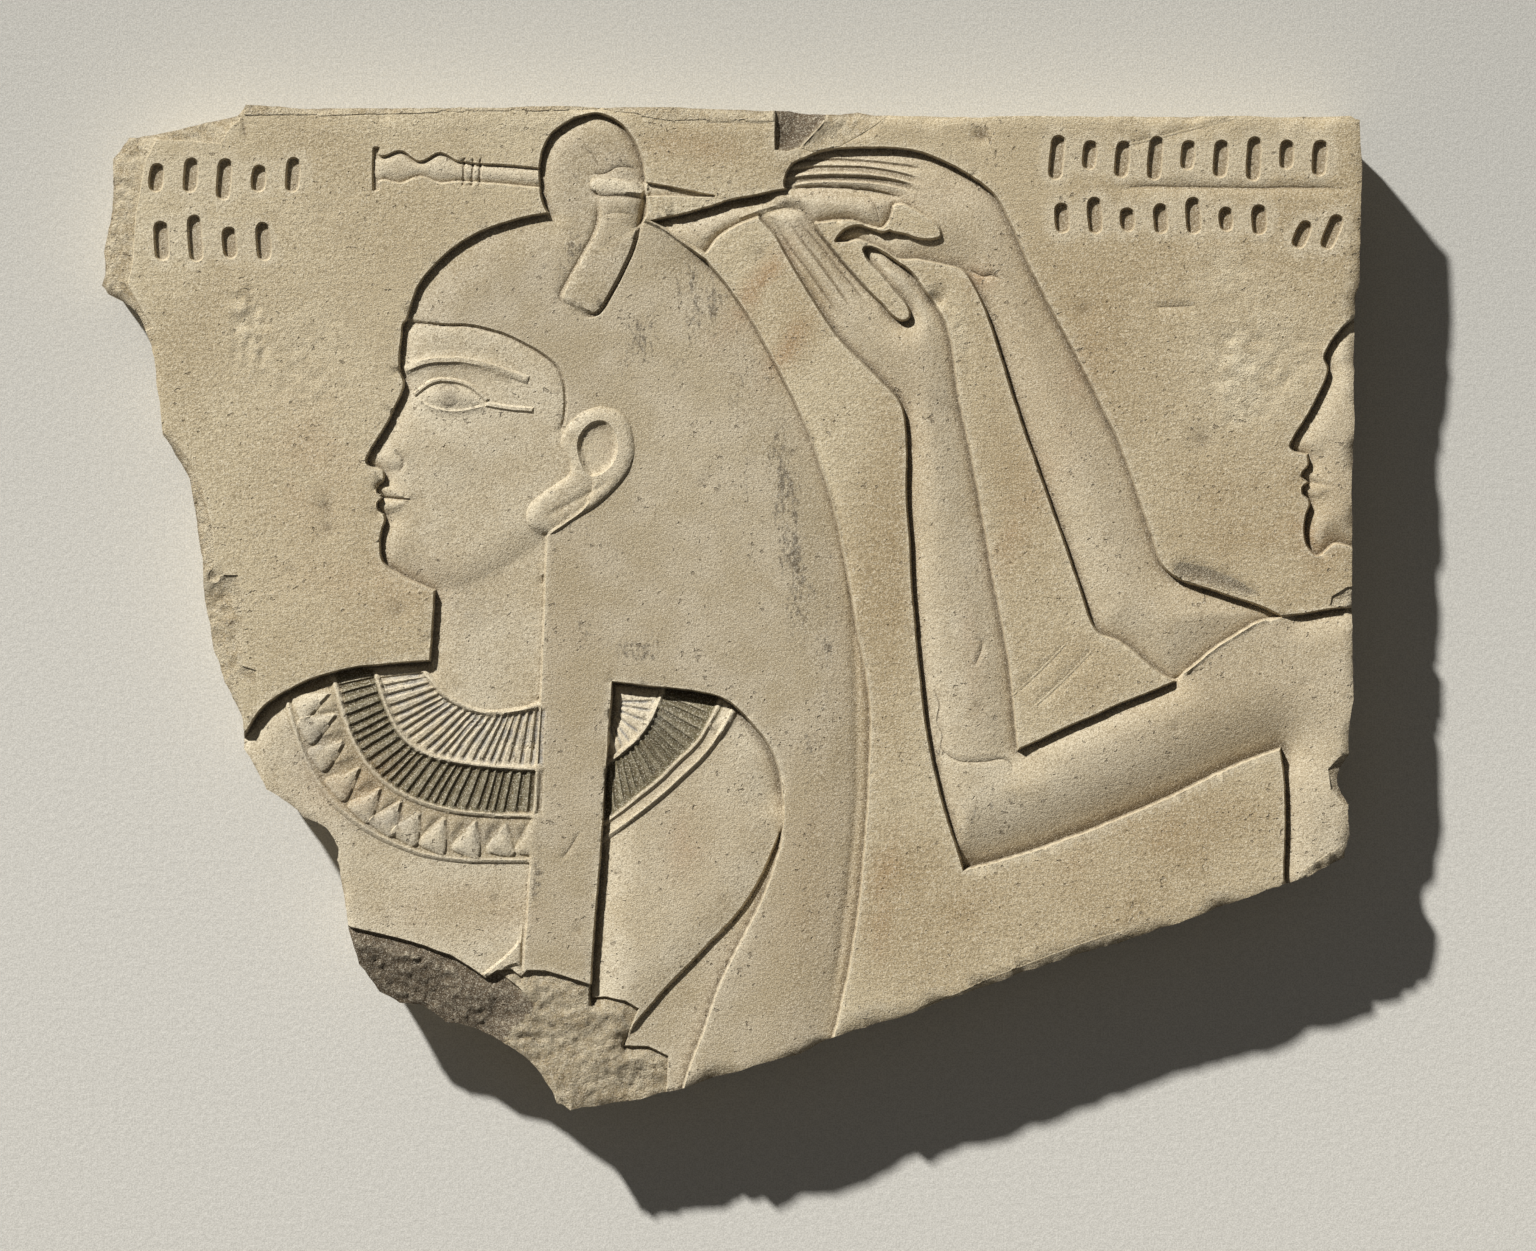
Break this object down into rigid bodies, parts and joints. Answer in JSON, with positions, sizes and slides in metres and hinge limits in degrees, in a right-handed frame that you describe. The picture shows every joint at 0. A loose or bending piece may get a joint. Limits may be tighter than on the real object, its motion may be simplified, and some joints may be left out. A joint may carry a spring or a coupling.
{
  "type": "sunk relief panel",
  "caption": "Loose limestone panel fragment carved in sunk relief: a head in profile with a long wig, broad collar and hair pin, and the hands that dress the hair.",
  "frame": {"origin": "middle of the bounding box, on the flat back", "axes": "+X to the right of the picture, +Y to its top, +Z out of the carved side; the panel lies on its back"},
  "size_m": [0.236, 0.1884, 0.02],
  "materials": {
    "limestone": "matt, fine-grained, weathered"
  },
  "bodies": {
    "root": {"relief_panel": "limestone"}
  },
  "joints": []
}
